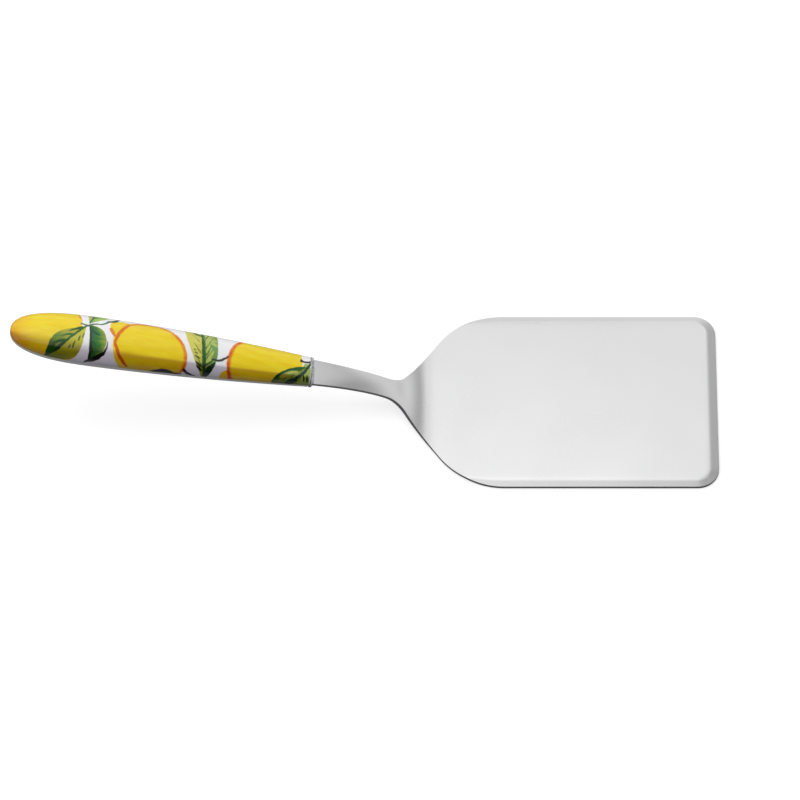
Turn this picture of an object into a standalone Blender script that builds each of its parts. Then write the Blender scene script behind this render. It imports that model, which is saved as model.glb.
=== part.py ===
"""Lasagna server: a stamped steel blade with an offset neck, set in a hollow porcelain handle.

The part is in metres. X runs from the butt of the handle to the front edge of the blade,
Y across it and Z up. The blade's turned-down rim stands on Z = 0, and the origin lies on
that plane, halfway along the part.
"""

import math

import bmesh
import bpy
from mathutils import Vector

# Driving dimensions of the steel, one sheet from the front edge to the hidden tang
SHEET = 0.0015
BLADE_WIDTH = 0.083
BLADE_STRAIGHT = 0.0908
FRONT_CORNER_RADIUS = 0.0092
SHOULDER_RADIUS = 0.0337
SHOULDER_ANGLE = math.radians(53.9)
WAIST_RADIUS = 0.0099
WAIST_WIDTH = 0.0091
NECK_END_WIDTH = 0.012
NECK_RUN = 0.0323
NECK_TAPER_POWER = 1.5
CUT_EDGE_ROUNDING = 0.0002

# The pressed flange that runs round the front and both sides of the blade
RIM_DROP = 0.001
SIDE_FLANGE = 0.0042
FRONT_FLANGE = 0.0056
FOLD_CORNER_RADIUS = 0.00375
FOLD_ROUNDING_SHARE = 0.46
RIM_MARGIN = 0.0009

# The offset neck: where its bend starts in front of the waist, and how it climbs
HEEL_TO_WAIST = 0.0201
BEND_RADIUS = 0.0188
NECK_SLOPE = math.radians(45.8)
NECK_EASE_POWER = 2.47
NECK_CROWN = 0.0007

# The tang that runs on inside the handle
TANG_LENGTH = 0.04

# Driving dimensions of the porcelain handle, a hollow shell of oval sections
HANDLE_LENGTH = 0.1286
HANDLE_WIDTH = 0.0225
HANDLE_THICKNESS = 0.0153
MOUTH_BESIDE_NECK = 0.00075
MOUTH_OVER_SHEET = 0.00385
WIDEST_TO_BUTT = 0.0335
WALL = 0.002
MOUTH_LIP_ROUNDING = 0.0006
MOUTH_TILT = math.radians(16.3)
BUTT_TILT = math.radians(14.6)
SWELL_POWER = 1.85
BUTT_POWER = 2.45

# The cement round the tang and the bead that seals the mouth
FIT_GAP = 0.0003
CEMENT_BESIDE_TANG = 0.0009
CEMENT_PAST_TANG = 0.005
BEAD_LENGTH = 0.0012
BEAD_BESIDE_NECK = 0.0003
BEAD_LAP = 0.0005
BEAD_TAPER = 0.0003
BEAD_POWER = 4.0

# Limits for the modifiers: edges sharper than this are rounded, and points nearer than this merge
SHARP_OVER = math.radians(50)
MERGE_WITHIN = 0.00001

# Mesh fineness, in counts
CORE_COLUMNS = 8
FLANGE_COLUMNS = 5
CORNER_STEPS = 5
STRAIGHT_STEPS = 5
SHOULDER_STEPS = 9
DIAGONAL_STEPS = 4
WAIST_STEPS = 8
NECK_STEPS = 8
SLOPE_STEPS = 200
SWELL_STEPS = 16
BUTT_STEPS = 12
RING_POINTS = 36
CAVITY_POINTS = 24

# Sizes that follow from the driving dimensions
HALF_BLADE = BLADE_WIDTH / 2
HALF_WAIST = WAIST_WIDTH / 2
HALF_NECK_END = NECK_END_WIDTH / 2
FOLD_HALF = HALF_BLADE - SIDE_FLANGE
PANEL_TOP = SHEET + RIM_DROP

SHOULDER_END = BLADE_STRAIGHT + SHOULDER_RADIUS * math.sin(SHOULDER_ANGLE)
SHOULDER_END_HALF = HALF_BLADE - SHOULDER_RADIUS * (1 - math.cos(SHOULDER_ANGLE))
WAIST_START_HALF = HALF_WAIST + WAIST_RADIUS * (1 - math.cos(SHOULDER_ANGLE))
DIAGONAL_RUN = (SHOULDER_END_HALF - WAIST_START_HALF) / math.tan(SHOULDER_ANGLE)
WAIST_START = SHOULDER_END + DIAGONAL_RUN
WAIST = WAIST_START + WAIST_RADIUS * math.sin(SHOULDER_ANGLE)
NECK_END = WAIST + NECK_RUN
HEEL = WAIST - HEEL_TO_WAIST
BEND_END = HEEL + BEND_RADIUS * math.sin(NECK_SLOPE)

MOUTH_WIDTH = NECK_END_WIDTH + 2 * MOUTH_BESIDE_NECK
MOUTH_THICKNESS = SHEET + 2 * MOUTH_OVER_SHEET
WIDEST_FROM_MOUTH = HANDLE_LENGTH - WIDEST_TO_BUTT
TILT_CHANGE = BUTT_TILT - MOUTH_TILT
CEMENT_DEPTH = TANG_LENGTH + CEMENT_PAST_TANG
HALF_TANG = MOUTH_WIDTH / 2 - WALL - CEMENT_BESIDE_TANG - 2 * FIT_GAP


def rise(back):
    """Height of the sheet's middle line over the panel, and its slope, this far behind the front edge."""
    if back <= HEEL:
        return 0.0, 0.0
    if back <= BEND_END:
        slope = math.asin((back - HEEL) / BEND_RADIUS)
        return BEND_RADIUS * (1 - math.cos(slope)), slope
    height = BEND_RADIUS * (1 - math.cos(NECK_SLOPE))
    step = (back - BEND_END) / SLOPE_STEPS
    for index in range(SLOPE_STEPS):
        height += step * math.tan(neck_slope(BEND_END + (index + 0.5) * step))
    return height, neck_slope(back)


def neck_slope(back):
    """Slope of the neck, steepest above the bend and easing to the handle's tilt at its end."""
    share = (back - BEND_END) / (NECK_END - BEND_END)
    return MOUTH_TILT + (NECK_SLOPE - MOUTH_TILT) * (1 - share) ** NECK_EASE_POWER


def along(back, lift, across, offset=0.0):
    """Point on the sheet: lift is its height over the panel, offset its depth square to the slope."""
    height, slope = rise(back)
    return Vector((
        -back - offset * math.sin(slope),
        across,
        PANEL_TOP + height + lift - offset * math.cos(slope),
    ))


def fold_share(across_share):
    """Share of the drop reached at this share of the flange's width: a rounded fold, then straight."""
    if across_share < FOLD_ROUNDING_SHARE:
        reached = across_share ** 2 / (2 * FOLD_ROUNDING_SHARE)
    else:
        reached = across_share - FOLD_ROUNDING_SHARE / 2
    return reached / (1 - FOLD_ROUNDING_SHARE / 2)


def crown_fall(back, across, half):
    """How far the crowned neck lies below its middle line at this distance from it."""
    if not HEEL < back < NECK_END:
        return 0.0
    swell = math.sin(math.pi * (back - HEEL) / (NECK_END - HEEL)) ** 2
    return NECK_CROWN * swell * (across / half) ** 2


def core_half(back, rim_half):
    """Half width of the flat core, which ends at the fold or a small margin inside the cut edge."""
    tang_margin = HALF_NECK_END - HALF_TANG
    share = min(max((back - WAIST) / NECK_RUN, 0.0), 1.0)
    margin = RIM_MARGIN + (tang_margin - RIM_MARGIN) * share
    return min(FOLD_HALF, rim_half - margin)


def steel_rows():
    """Rows from the front fold to the neck's end: (core back, core half, rim back, rim half)."""
    rows = []
    for step in range(CORNER_STEPS + 1):
        angle = math.pi / 2 * step / CORNER_STEPS
        rows.append((
            FRONT_FLANGE + FOLD_CORNER_RADIUS * (1 - math.cos(angle)),
            FOLD_HALF - FOLD_CORNER_RADIUS * (1 - math.sin(angle)),
            FRONT_CORNER_RADIUS * (1 - math.cos(angle)),
            HALF_BLADE - FRONT_CORNER_RADIUS * (1 - math.sin(angle)),
        ))
    outline = []
    for step in range(1, STRAIGHT_STEPS + 1):
        run = BLADE_STRAIGHT - FRONT_CORNER_RADIUS
        outline.append((FRONT_CORNER_RADIUS + run * step / STRAIGHT_STEPS, HALF_BLADE))
    for step in range(1, SHOULDER_STEPS + 1):
        angle = SHOULDER_ANGLE * step / SHOULDER_STEPS
        outline.append((
            BLADE_STRAIGHT + SHOULDER_RADIUS * math.sin(angle),
            HALF_BLADE - SHOULDER_RADIUS * (1 - math.cos(angle)),
        ))
    for step in range(1, DIAGONAL_STEPS + 1):
        share = step / DIAGONAL_STEPS
        outline.append((
            SHOULDER_END + DIAGONAL_RUN * share,
            SHOULDER_END_HALF + (WAIST_START_HALF - SHOULDER_END_HALF) * share,
        ))
    for step in range(1, WAIST_STEPS + 1):
        angle = SHOULDER_ANGLE * (1 - step / WAIST_STEPS)
        outline.append((
            WAIST - WAIST_RADIUS * math.sin(angle),
            HALF_WAIST + WAIST_RADIUS * (1 - math.cos(angle)),
        ))
    for step in range(1, NECK_STEPS + 1):
        share = step / NECK_STEPS
        outline.append((
            WAIST + NECK_RUN * share,
            HALF_WAIST + (HALF_NECK_END - HALF_WAIST) * share ** NECK_TAPER_POWER,
        ))
    for back, half in outline:
        rows.append((back, core_half(back, half), back, half))
    return rows


def sheet_vertex(bm, back, across, half, drop=0.0):
    return bm.verts.new(along(back, -drop - crown_fall(back, across, half), across))


def add_flange(bm, core_vertex, core, rim, drop, half):
    """Vertices from the end of the core out to the cut edge."""
    line = [core_vertex]
    for column in range(1, FLANGE_COLUMNS + 1):
        share = column / FLANGE_COLUMNS
        back = core[0] + (rim[0] - core[0]) * share
        across = core[1] + (rim[1] - core[1]) * share
        line.append(sheet_vertex(bm, back, across, half, drop * fold_share(share)))
    return line


def join_lines(bm, lines):
    """Quads between each pair of neighbouring lines of vertices."""
    for first, second in zip(lines, lines[1:]):
        for index in range(min(len(first), len(second)) - 1):
            bm.faces.new((first[index], first[index + 1], second[index + 1], second[index]))


def half_sheet(bm):
    """Top face of the sheet on the +Y side, open on the middle plane."""
    rows = steel_rows()
    cores = []
    for back, half, _, rim_half in rows:
        line = []
        for column in range(CORE_COLUMNS + 1):
            line.append(sheet_vertex(bm, back, half * column / CORE_COLUMNS, rim_half))
        cores.append(line)
    flanges = []
    _, _, _, front_half = rows[0]
    for column in range(CORE_COLUMNS):
        share = column / CORE_COLUMNS
        core = (FRONT_FLANGE, rows[0][1] * share)
        rim = (0.0, front_half * share)
        flanges.append(add_flange(bm, cores[0][column], core, rim, RIM_DROP, front_half))
    for index, (back, half, rim_back, rim_half) in enumerate(rows):
        width_share = (rim_half - FOLD_HALF) / SIDE_FLANGE
        if index <= CORNER_STEPS:
            width_share = 1.0
        drop = RIM_DROP * max(width_share, 0.0)
        core, rim = (back, half), (rim_back, rim_half)
        flanges.append(add_flange(bm, cores[index][-1], core, rim, drop, rim_half))
    join_lines(bm, cores)
    join_lines(bm, flanges)
    tang_end = []
    for column in range(CORE_COLUMNS + 1):
        reach = NECK_END + TANG_LENGTH * math.cos(MOUTH_TILT)
        height = TANG_LENGTH * math.sin(MOUTH_TILT)
        point = along(NECK_END, height, HALF_TANG * column / CORE_COLUMNS)
        point.x = -reach
        tang_end.append(bm.verts.new(point))
    join_lines(bm, [cores[-1], tang_end])


def blade_mesh():
    """Half of the sheet, thickened square to its slope and left open on the middle plane."""
    bm = bmesh.new()
    half_sheet(bm)
    top = list(bm.faces)
    under = bmesh.ops.extrude_face_region(bm, geom=top, use_keep_orig=True)["geom"]
    for vertex in (item for item in under if isinstance(item, bmesh.types.BMVert)):
        _, slope = rise(min(-vertex.co.x, NECK_END))
        vertex.co -= Vector((SHEET * math.sin(slope), 0.0, SHEET * math.cos(slope)))
    on_plane = [face for face in bm.faces if all(vert.co.y == 0 for vert in face.verts)]
    bmesh.ops.delete(bm, geom=on_plane, context="FACES_ONLY")
    bmesh.ops.recalc_face_normals(bm, faces=bm.faces)
    return to_mesh(bm, "blade")


def to_mesh(bm, name):
    mesh = bpy.data.meshes.new(name)
    bm.to_mesh(mesh)
    bm.free()
    mesh.shade_smooth()
    mesh.set_sharp_from_angle(angle=SHARP_OVER)
    return mesh


MOUTH_CENTRE = along(NECK_END, 0.0, 0.0, SHEET / 2)


def axis_frame(distance):
    """Point on the handle's gently bowed axis, and the upward direction square to it."""
    behind_neck = distance + FIT_GAP
    chord_tilt = MOUTH_TILT + TILT_CHANGE * distance / HANDLE_LENGTH / 2
    tilt = MOUTH_TILT + TILT_CHANGE * distance / HANDLE_LENGTH
    centre = MOUTH_CENTRE + behind_neck * Vector((-math.cos(chord_tilt), 0.0, math.sin(chord_tilt)))
    return centre, Vector((math.sin(tilt), 0.0, math.cos(tilt)))


def swell(distance):
    """Share of the growth from the mouth's size to the widest size, this far behind the mouth."""
    return 1 - (1 - distance / WIDEST_FROM_MOUTH) ** SWELL_POWER


def handle_sections(inset):
    """Sections of the handle pulled in by inset: (distance behind the mouth, half width, half thickness)."""
    sections = []
    for step in range(SWELL_STEPS + 1):
        distance = WIDEST_FROM_MOUTH * step / SWELL_STEPS
        sections.append(body_section(distance, inset))
    widest_half, widest_rise = sections[-1][1:]
    butt = HANDLE_LENGTH - WIDEST_FROM_MOUTH - inset
    for step in range(1, BUTT_STEPS):
        angle = math.pi / 2 * step / BUTT_STEPS
        ahead = math.sin(angle) ** (2 / BUTT_POWER)
        size = math.cos(angle) ** (2 / BUTT_POWER)
        sections.append((WIDEST_FROM_MOUTH + butt * ahead, widest_half * size, widest_rise * size))
    sections.append((WIDEST_FROM_MOUTH + butt, 0.0, 0.0))
    return sections


def body_section(distance, inset):
    grown = swell(distance)
    width = MOUTH_WIDTH + (HANDLE_WIDTH - MOUTH_WIDTH) * grown
    thickness = MOUTH_THICKNESS + (HANDLE_THICKNESS - MOUTH_THICKNESS) * grown
    return distance, width / 2 - inset, thickness / 2 - inset


def rounded(share, power):
    """Coordinate of a superellipse for the cosine or sine of its angle: 2 is an oval, more is squarer."""
    return math.copysign(abs(share) ** (2 / power), share)


def ring(bm, section, points, power=2.0):
    """Oval ring of vertices square to the axis, or one vertex where the section has no size."""
    distance, half_width, half_thickness = section
    centre, up = axis_frame(distance)
    if half_width == 0:
        return [bm.verts.new(centre)]
    vertices = []
    for index in range(points):
        angle = 2 * math.pi * index / points
        across = half_width * rounded(math.cos(angle), power)
        height = half_thickness * rounded(math.sin(angle), power)
        vertices.append(bm.verts.new(centre + Vector((0.0, across, 0.0)) + height * up))
    return vertices


def bridge(bm, first, second):
    """Faces between two rings of as many points, or from a ring to a single vertex."""
    count = len(first)
    for index in range(count):
        after = (index + 1) % count
        if len(second) == 1:
            bm.faces.new((first[index], first[after], second[0]))
        else:
            bm.faces.new((first[index], first[after], second[after], second[index]))


def handle_mesh():
    """Porcelain shell, closed at the butt and open at the mouth."""
    bm = bmesh.new()
    outside = [ring(bm, section, RING_POINTS) for section in handle_sections(0.0)]
    inside = [ring(bm, section, RING_POINTS) for section in handle_sections(WALL)]
    for skin in (outside, inside):
        for first, second in zip(skin, skin[1:]):
            bridge(bm, first, second)
    bridge(bm, outside[0], inside[0])
    bmesh.ops.recalc_face_normals(bm, faces=bm.faces)
    return to_mesh(bm, "handle_shell")


def plug_mesh(name, sections, points, power=2.0):
    """Solid loft through the sections, with a flat cap on each end."""
    bm = bmesh.new()
    rings = [ring(bm, section, points, power) for section in sections]
    for first, second in zip(rings, rings[1:]):
        bridge(bm, first, second)
    bm.faces.new(rings[0])
    bm.faces.new(rings[-1])
    bmesh.ops.recalc_face_normals(bm, faces=bm.faces)
    return to_mesh(bm, name)


def add_object(name, mesh, collection, material=None):
    obj = bpy.data.objects.new(name, mesh)
    collection.objects.link(obj)
    if material:
        mesh.materials.append(material)
    return obj


def add_material(name, colour, metallic, roughness):
    material = bpy.data.materials.new(name)
    material.use_nodes = True
    shader = material.node_tree.nodes["Principled BSDF"]
    shader.inputs["Base Color"].default_value = (*colour, 1.0)
    shader.inputs["Metallic"].default_value = metallic
    shader.inputs["Roughness"].default_value = roughness
    return material


def add_bevel(obj, width, segments):
    bevel = obj.modifiers.new("rounded edges", "BEVEL")
    bevel.width = width
    bevel.segments = segments
    bevel.limit_method = "ANGLE"
    bevel.angle_limit = SHARP_OVER


def add_cut(obj, cutter):
    cut = obj.modifiers.new("cut for " + cutter.name, "BOOLEAN")
    cut.operation = "DIFFERENCE"
    cut.solver = "EXACT"
    cut.object = cutter


def strip_cutter(name, width, length, collection):
    """Slot for the sheet, square to the mouth: it runs forward of the neck's end by its length."""
    bm = bmesh.new()
    bmesh.ops.create_cube(bm, size=1.0)
    for vertex in bm.verts:
        vertex.co.x *= 2 * length
        vertex.co.y *= width + 2 * FIT_GAP
        vertex.co.z *= SHEET + 2 * FIT_GAP
    cutter = add_object(name, to_mesh(bm, name), collection)
    cutter.location = MOUTH_CENTRE
    cutter.rotation_euler = (0.0, MOUTH_TILT, 0.0)
    cutter.hide_render = True
    cutter.display_type = "WIRE"
    return cutter


def build():
    for obj in list(bpy.data.objects):
        bpy.data.objects.remove(obj)
    parts = bpy.data.collections.new("lasagna_server")
    cutters = bpy.data.collections.new("cutters")
    bpy.context.scene.collection.children.link(parts)
    bpy.context.scene.collection.children.link(cutters)

    steel = add_material("satin stainless steel", (0.62, 0.62, 0.63), 1.0, 0.28)
    porcelain = add_material("glazed porcelain", (0.86, 0.62, 0.05), 0.0, 0.12)
    cement = add_material("setting cement", (0.62, 0.60, 0.55), 0.0, 0.9)
    sealant = add_material("white sealing resin", (0.80, 0.80, 0.82), 0.0, 0.4)

    blade = add_object("blade", blade_mesh(), parts, steel)
    mirror = blade.modifiers.new("both sides", "MIRROR")
    mirror.use_axis = (False, True, False)
    mirror.use_clip = True
    mirror.merge_threshold = MERGE_WITHIN
    add_bevel(blade, CUT_EDGE_ROUNDING, 1)

    shell = add_object("handle_shell", handle_mesh(), parts, porcelain)
    add_bevel(shell, MOUTH_LIP_ROUNDING, 2)

    tang_slot = strip_cutter("tang_slot", 2 * HALF_TANG, TANG_LENGTH + FIT_GAP, cutters)
    neck_slot = strip_cutter("neck_slot", NECK_END_WIDTH, TANG_LENGTH, cutters)

    fill_sections = []
    for step in range(SWELL_STEPS):
        distance = FIT_GAP + (CEMENT_DEPTH - FIT_GAP) * step / (SWELL_STEPS - 1)
        fill_sections.append(body_section(distance, WALL + FIT_GAP))
    fill = add_object(
        "cement_fill", plug_mesh("cement_fill", fill_sections, CAVITY_POINTS), parts, cement
    )
    add_cut(fill, tang_slot)

    beside = HALF_NECK_END + FIT_GAP + BEAD_BESIDE_NECK
    over = MOUTH_THICKNESS / 2 - WALL + BEAD_LAP
    bead_sections = [
        (-FIT_GAP - BEAD_LENGTH, beside - BEAD_TAPER, over - BEAD_TAPER),
        (-FIT_GAP, beside, over),
    ]
    bead_shape = plug_mesh("sealing_bead", bead_sections, CAVITY_POINTS, BEAD_POWER)
    bead = add_object("sealing_bead", bead_shape, parts, sealant)
    add_cut(bead, neck_slot)

    butt_centre, _ = axis_frame(HANDLE_LENGTH)
    frame = bpy.data.objects.new("server_frame", None)
    parts.objects.link(frame)
    frame.location = (-butt_centre.x / 2, 0.0, 0.0)
    for obj in (blade, shell, fill, bead, tang_slot, neck_slot):
        obj.parent = frame
    bpy.context.view_layer.update()


build()
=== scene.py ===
# %% [markdown]
# # A lasagna server with a porcelain handle
# A lasagna server lifts a wide slice out of a dish: a broad stamped blade, a neck that bends up
# so that the hand clears the rim, and a handle. On this one the blade, the neck and a hidden
# tang are one sheet of stainless steel, and the handle is a hollow porcelain shell with a
# fruit print under a clear glaze. White resin seals the mouth of the shell round the neck.
#
# The solids of the four pieces are loaded first. They fix every size and place, and what
# follows puts finer meshes and real finishes over them.

# %% Load the solids
import functools
import math

import bmesh
import bpy
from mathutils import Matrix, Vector, noise


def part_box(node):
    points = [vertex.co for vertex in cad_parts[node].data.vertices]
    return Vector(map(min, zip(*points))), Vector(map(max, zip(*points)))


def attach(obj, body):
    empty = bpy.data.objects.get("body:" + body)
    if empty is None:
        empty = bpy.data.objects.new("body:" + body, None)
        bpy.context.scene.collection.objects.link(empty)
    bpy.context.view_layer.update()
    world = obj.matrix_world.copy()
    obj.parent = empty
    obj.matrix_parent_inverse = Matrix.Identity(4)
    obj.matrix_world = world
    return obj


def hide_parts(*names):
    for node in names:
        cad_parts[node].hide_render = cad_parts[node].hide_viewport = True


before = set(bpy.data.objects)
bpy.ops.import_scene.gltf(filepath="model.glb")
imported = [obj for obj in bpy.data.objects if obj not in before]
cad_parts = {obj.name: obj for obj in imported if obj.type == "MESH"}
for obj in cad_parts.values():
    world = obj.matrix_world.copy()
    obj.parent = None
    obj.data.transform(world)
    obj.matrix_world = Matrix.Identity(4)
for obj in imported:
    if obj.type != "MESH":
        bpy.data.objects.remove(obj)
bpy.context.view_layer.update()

MM = 0.001
FRONT_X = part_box("blade")[1].x
scene = bpy.context.scene
print("front edge at x =", round(FRONT_X / MM, 2), "mm, nodes:", sorted(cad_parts))

# %% [markdown]
# ## Helpers
# A material in Blender is a graph of nodes. One function adds a node: its open sockets are
# filled in order with values, with other nodes or with their sockets, its named ones from a
# dictionary, a colour ramp's even stops from a list, and its settings from keywords. Two
# shorter forms serve the commonest kinds, a calculation and a smooth step. Another function
# turns a colour as a painter would pick it on a screen, an sRGB hex value, into the linear
# values that Blender mixes. The last one puts a finished mesh into the scene.

# %% Helpers for colours, nodes and meshes
def linear(hex_colour):
    """Linear RGBA of an sRGB colour written as six hex digits."""
    channels = [int(hex_colour[index:index + 2], 16) / 255 for index in (0, 2, 4)]
    curve = [c / 12.92 if c <= 0.04045 else ((c + 0.055) / 1.055) ** 2.4 for c in channels]
    return (*curve, 1.0)


def add(tree, kind, *sources, named=None, stops=(), **settings):
    """Add a node, its kind written without the ShaderNode prefix. None skips a socket."""
    node = tree.nodes.new("ShaderNode" + kind)
    for name, value in settings.items():
        setattr(node, name, value)
    for index in range(1, len(stops) - 1):
        node.color_ramp.elements.new(index / (len(stops) - 1))
    for index, colour in enumerate(stops):
        node.color_ramp.elements[index].color = linear(colour)
    open_sockets = [socket for socket in node.inputs if socket.enabled]
    pairs = list(zip(open_sockets, sources))
    pairs += [(node.inputs[name], value) for name, value in (named or {}).items()]
    for socket, value in pairs:
        if isinstance(value, bpy.types.Node):
            value = next(output for output in value.outputs if output.enabled)
        if isinstance(value, bpy.types.NodeSocket):
            tree.links.new(value, socket)
        elif value is not None:
            socket.default_value = value
    return node


def calc(tree, operation, *sources):
    """Calculation with values, nodes or sockets."""
    return add(tree, "Math", *sources, operation=operation)


def soft_step(tree, value, *span):
    """Smooth step between two places, from 0 to 1 or between the two levels that follow."""
    return add(tree, "MapRange", value, *span, interpolation_type="SMOOTHSTEP", clamp=False)


def new_material(name):
    """Empty material and its node tree."""
    material = bpy.data.materials.new(name)
    material.use_nodes = True
    material.node_tree.nodes.clear()
    return material, material.node_tree


def place_mesh(bm, name):
    """Object in the scene that holds the built mesh."""
    mesh = bpy.data.meshes.new(name)
    bm.to_mesh(mesh)
    bm.free()
    thing = bpy.data.objects.new(name, mesh)
    scene.collection.objects.link(thing)
    return thing


# %% [markdown]
# ## Camera
# The catalogue picture looks down at the server from 60 degrees with a long lens, so that
# lines running away from the viewer hardly converge. The camera aims at a point between the
# handle and the blade, and stands far enough away to take in the whole length.

# %% Camera
CAMERA_ELEVATION = math.radians(60)
CAMERA_DISTANCE = 2.672
CAMERA_LENS = 283.5
CAMERA_SENSOR = 36.0
AIM_BEHIND_FRONT = 0.13454
AIM_ASIDE = 0.001
AIM_HEIGHT = 0.0008

camera_data = bpy.data.cameras.new("catalogue camera")
camera_data.lens = CAMERA_LENS
camera_data.sensor_width = CAMERA_SENSOR
camera = bpy.data.objects.new("catalogue camera", camera_data)
aim = Vector((FRONT_X - AIM_BEHIND_FRONT, AIM_ASIDE, AIM_HEIGHT))
away = Vector((0.0, -math.cos(CAMERA_ELEVATION), math.sin(CAMERA_ELEVATION)))
camera.location = aim + CAMERA_DISTANCE * away
camera.rotation_euler = (math.pi / 2 - CAMERA_ELEVATION, 0.0, 0.0)
scene.collection.objects.link(camera)
scene.camera = camera
scene.view_settings.view_transform = "Standard"
print("camera at", [round(value, 3) for value in camera.location])

# %% [markdown]
# ## Studio
# Satin steel has almost no colour of its own: it shows the room. The room here is a dome
# that is pale low down behind the server and dimmer overhead, where the soft boxes hang, a
# little dimmer to the right, and dark on the camera's side. The tilted lips and the bend of
# the neck see other parts of it than the flat panel does, and so they stand out. Each smooth
# step below runs along one coordinate of the direction: it gives the two places between which
# the light changes, then the levels there. Such a step needs no clamp of its own, and without
# one the long graph of the print, further down, stays within what the renderer can hold.

# %% Light dome
DARK_SIDE = 0.08
OPEN_SIDE = 0.29
PAST_CAMERA = (-0.66, -0.54)
LEFT_OF_GAP = (0.50, 0.15, 0.0, 0.10)
LOW_DOWN = (0.82, 0.27, 0.0, 0.62)

world = bpy.data.worlds.new("studio dome")
scene.world = world
world.use_nodes = True
tree = world.node_tree
tree.nodes.clear()
direction = add(tree, "TexCoord").outputs["Generated"]
toward = add(tree, "SeparateXYZ", direction)
left = soft_step(tree, toward.outputs["X"], *LEFT_OF_GAP)
low = soft_step(tree, toward.outputs["Z"], *LOW_DOWN)
lit = calc(tree, "ADD", left, low)
lit = calc(tree, "ADD", lit, OPEN_SIDE)
past = soft_step(tree, toward.outputs["Y"], *PAST_CAMERA)
level = calc(tree, "MULTIPLY_ADD", lit, past, DARK_SIDE)
seen = add(tree, "LightPath").outputs["Is Camera Ray"]
level = add(tree, "Mix", seen, level, 1.0, data_type="FLOAT")
sky = add(tree, "Background", None, level)
add(tree, "OutputWorld", sky)

# %% [markdown]
# Four soft boxes shape the shadows. A large one hangs behind the server, one low over it and
# a small one behind it to the right: these show in the steel and the glaze, and what lies
# nearer to a low one sees more of it. The last, the key light, is kept out of reflections,
# the way a flag would hide it.

# %% Lamps
def soft_box(name, place, aim, width, height, level, in_reflections):
    """Rectangular lamp whose face glows at this level."""
    lamp = bpy.data.lights.new(name, "AREA")
    lamp.shape = "RECTANGLE"
    lamp.size = width
    lamp.size_y = height
    lamp.energy = level * math.pi * width * height
    box = bpy.data.objects.new(name, lamp)
    box.location = place
    box.rotation_euler = (Vector(aim) - Vector(place)).to_track_quat("-Z", "Y").to_euler()
    box.visible_glossy = in_reflections
    box.visible_camera = False
    scene.collection.objects.link(box)


MIDDLE = (0.0, 0.0, 0.0)
soft_box(
    "back soft box", place=(-0.165, 0.51, 1.09), aim=MIDDLE,
    width=1.49, height=1.45, level=0.45, in_reflections=True,
)
soft_box(
    "overhead soft box", place=(-0.25, -0.07, 0.68), aim=(-0.25, -0.07, 0.0),
    width=0.85, height=0.92, level=0.45, in_reflections=True,
)
soft_box(
    "side soft box", place=(0.37, 0.50, 0.68), aim=(0.37, 0.50, 0.0),
    width=0.24, height=0.36, level=0.30, in_reflections=True,
)
soft_box(
    "key soft box", place=(-0.3, 0.05, 1.4), aim=MIDDLE,
    width=0.8, height=0.8, level=2.2, in_reflections=False,
)
print(len(bpy.data.lights), "soft boxes")

# %% [markdown]
# The floor is a white paper sweep. Its diffuse paint takes the shadow, and a glow that only
# the camera sees in full, and reflections a fifth of, lifts the lit floor to plain white.
# Light that bounces off it meets a darker paint, so that undersides keep their shade.

# %% Floor
FLOOR_HALF = 4.0
FLOOR_PAINT = linear("BEBEBE")
FLOOR_BOUNCE = linear("7A7A7A")
FLOOR_GLOW = 0.65
FLOOR_IN_GLOSS = 0.2

material, tree = new_material("white paper sweep")
path = add(tree, "LightPath")
in_camera = path.outputs["Is Camera Ray"]
in_gloss = path.outputs["Is Glossy Ray"]
watched = calc(tree, "MULTIPLY_ADD", in_gloss, FLOOR_IN_GLOSS, in_camera)
watched = calc(tree, "MAXIMUM", watched, path.outputs["Is Transmission Ray"])
paint = add(tree, "Mix", watched, FLOOR_BOUNCE, FLOOR_PAINT, data_type="RGBA")
paper_finish = add(tree, "BsdfDiffuse", paint)
glow_level = calc(tree, "MULTIPLY", watched, FLOOR_GLOW)
glow = add(tree, "Emission", None, glow_level)
add(tree, "OutputMaterial", add(tree, "AddShader", paper_finish, glow))

bm = bmesh.new()
bmesh.ops.create_grid(bm, x_segments=1, y_segments=1, size=FLOOR_HALF)
floor = place_mesh(bm, "floor")
floor.data.materials.append(material)
print("floor", 2 * FLOOR_HALF, "m across")

# %% [markdown]
# ## The steel sheet
# The real blade is stamped from 1.5 mm sheet: the outline is sheared, and a die presses a
# low flange round the front and both sides, so that the panel stands 1 mm proud of its rim.
# The neck is then bent up, with a slight crown across it that stiffens it. A bevelled box
# would miss the soft folds, so the sheet is laid out in rows across the blade, from the front
# edge to the end of the tang, and each row is lifted by the same two rules: how far the neck
# has climbed there, and how far the flange has dropped.

# %% Sizes of the sheet
SHEET = 0.0015
HALF_BLADE = 0.083 / 2
BLADE_STRAIGHT = 0.0908
FRONT_CORNER_RADIUS = 0.0092
SHOULDER_RADIUS = 0.0337
SHOULDER_ANGLE = math.radians(53.9)
WAIST_RADIUS = 0.0099
HALF_WAIST = 0.0091 / 2
HALF_NECK_END = 0.012 / 2
NECK_RUN = 0.0323
NECK_TAPER_POWER = 1.5

RIM_DROP = 0.001
SIDE_FLANGE = 0.0042
FRONT_FLANGE = 0.0056
FOLD_CORNER_RADIUS = 0.00375
FOLD_ROUNDING_SHARE = 0.46
RIM_MARGIN = 0.0009
CUT_EDGE_ROUNDING = 0.0002

HEEL_TO_WAIST = 0.0201
BEND_RADIUS = 0.0188
NECK_SLOPE = math.radians(45.8)
NECK_EASE_POWER = 2.47
NECK_CROWN = 0.0007
MOUTH_TILT = math.radians(16.3)
TANG_LENGTH = 0.04
HALF_TANG = 0.00325

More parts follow.
